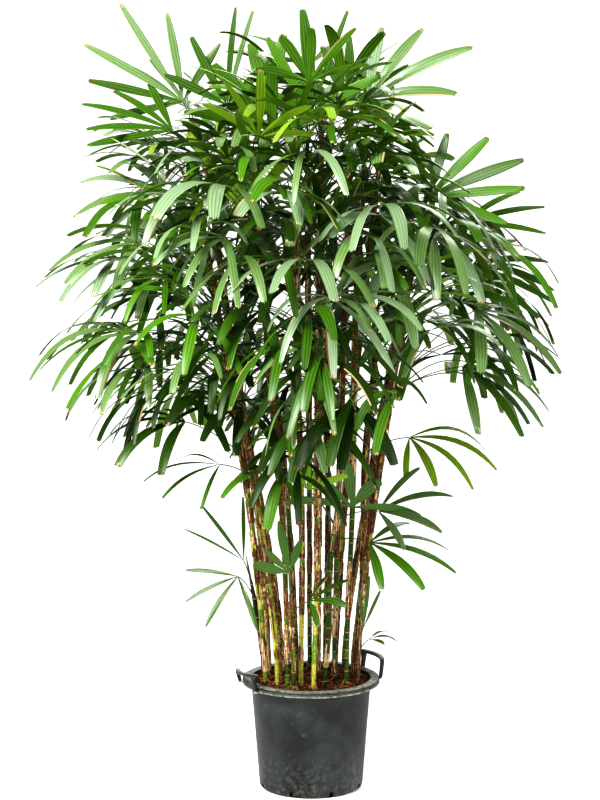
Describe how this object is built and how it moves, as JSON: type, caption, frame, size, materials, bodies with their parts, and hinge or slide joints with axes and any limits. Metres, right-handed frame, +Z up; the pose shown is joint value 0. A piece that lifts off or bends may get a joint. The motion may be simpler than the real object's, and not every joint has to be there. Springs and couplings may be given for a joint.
{
  "type": "potted lady palm",
  "caption": "Lady palm grown as a clump of slim leaning canes with fans of strap-shaped leaflets, in a round nursery pot with two carrying handles.",
  "frame": {"origin": "centre of the pot's flat underside, on the ground", "axes": "+Z up along the pot's axis, +X to the right and +Y to the back as the plant is seen in its main view"},
  "size_m": [1.5171, 1.435, 2.261],
  "materials": {
    "pot_plastic": "matt charcoal moulded plastic, dusty and lightly scuffed",
    "potting_soil": "loose red-brown potting mix of bark and coir",
    "bark_fibre": "brown fibre sheath",
    "bark_green": "smooth green cane with tan ring scars",
    "bark_yellow": "smooth yellow-green cane with tan ring scars",
    "bark_dark": "dark dry fibre sheath",
    "leaf_green": "leathery green leaf with a soft sheen"
  },
  "bodies": {
    "root": {"pot": "pot_plastic", "handle_left": "pot_plastic", "handle_right": "pot_plastic", "soil": "potting_soil", "cane_01": "bark_fibre", "cane_02": "bark_green", "cane_03": "bark_green", "cane_04": "bark_fibre", "cane_05": "bark_yellow", "cane_06": "bark_green", "cane_07": "bark_green", "cane_08": "bark_fibre", "cane_09": "bark_yellow", "cane_10": "bark_green", "cane_11": "bark_yellow", "cane_12": "bark_yellow", "cane_13": "bark_yellow", "cane_14": "bark_green", "cane_15": "bark_fibre", "cane_16": "bark_fibre", "cane_17": "bark_fibre", "cane_18": "bark_fibre", "cane_19": "bark_fibre", "cane_20": "bark_dark", "cane_21": "bark_green", "cane_22": "bark_green", "crown_01": "leaf_green", "crown_02": "leaf_green", "crown_03": "leaf_green", "crown_04": "leaf_green", "crown_05": "leaf_green", "crown_06": "leaf_green", "crown_07": "leaf_green", "crown_08": "leaf_green", "crown_09": "leaf_green", "crown_10": "leaf_green", "crown_11": "leaf_green", "crown_12": "leaf_green", "crown_13": "leaf_green", "crown_14": "leaf_green", "crown_15": "leaf_green", "crown_16": "leaf_green", "crown_17": "leaf_green", "crown_18": "leaf_green", "crown_19": "leaf_green", "crown_20": "leaf_green", "crown_21": "leaf_green", "crown_22": "leaf_green"}
  },
  "joints": []
}
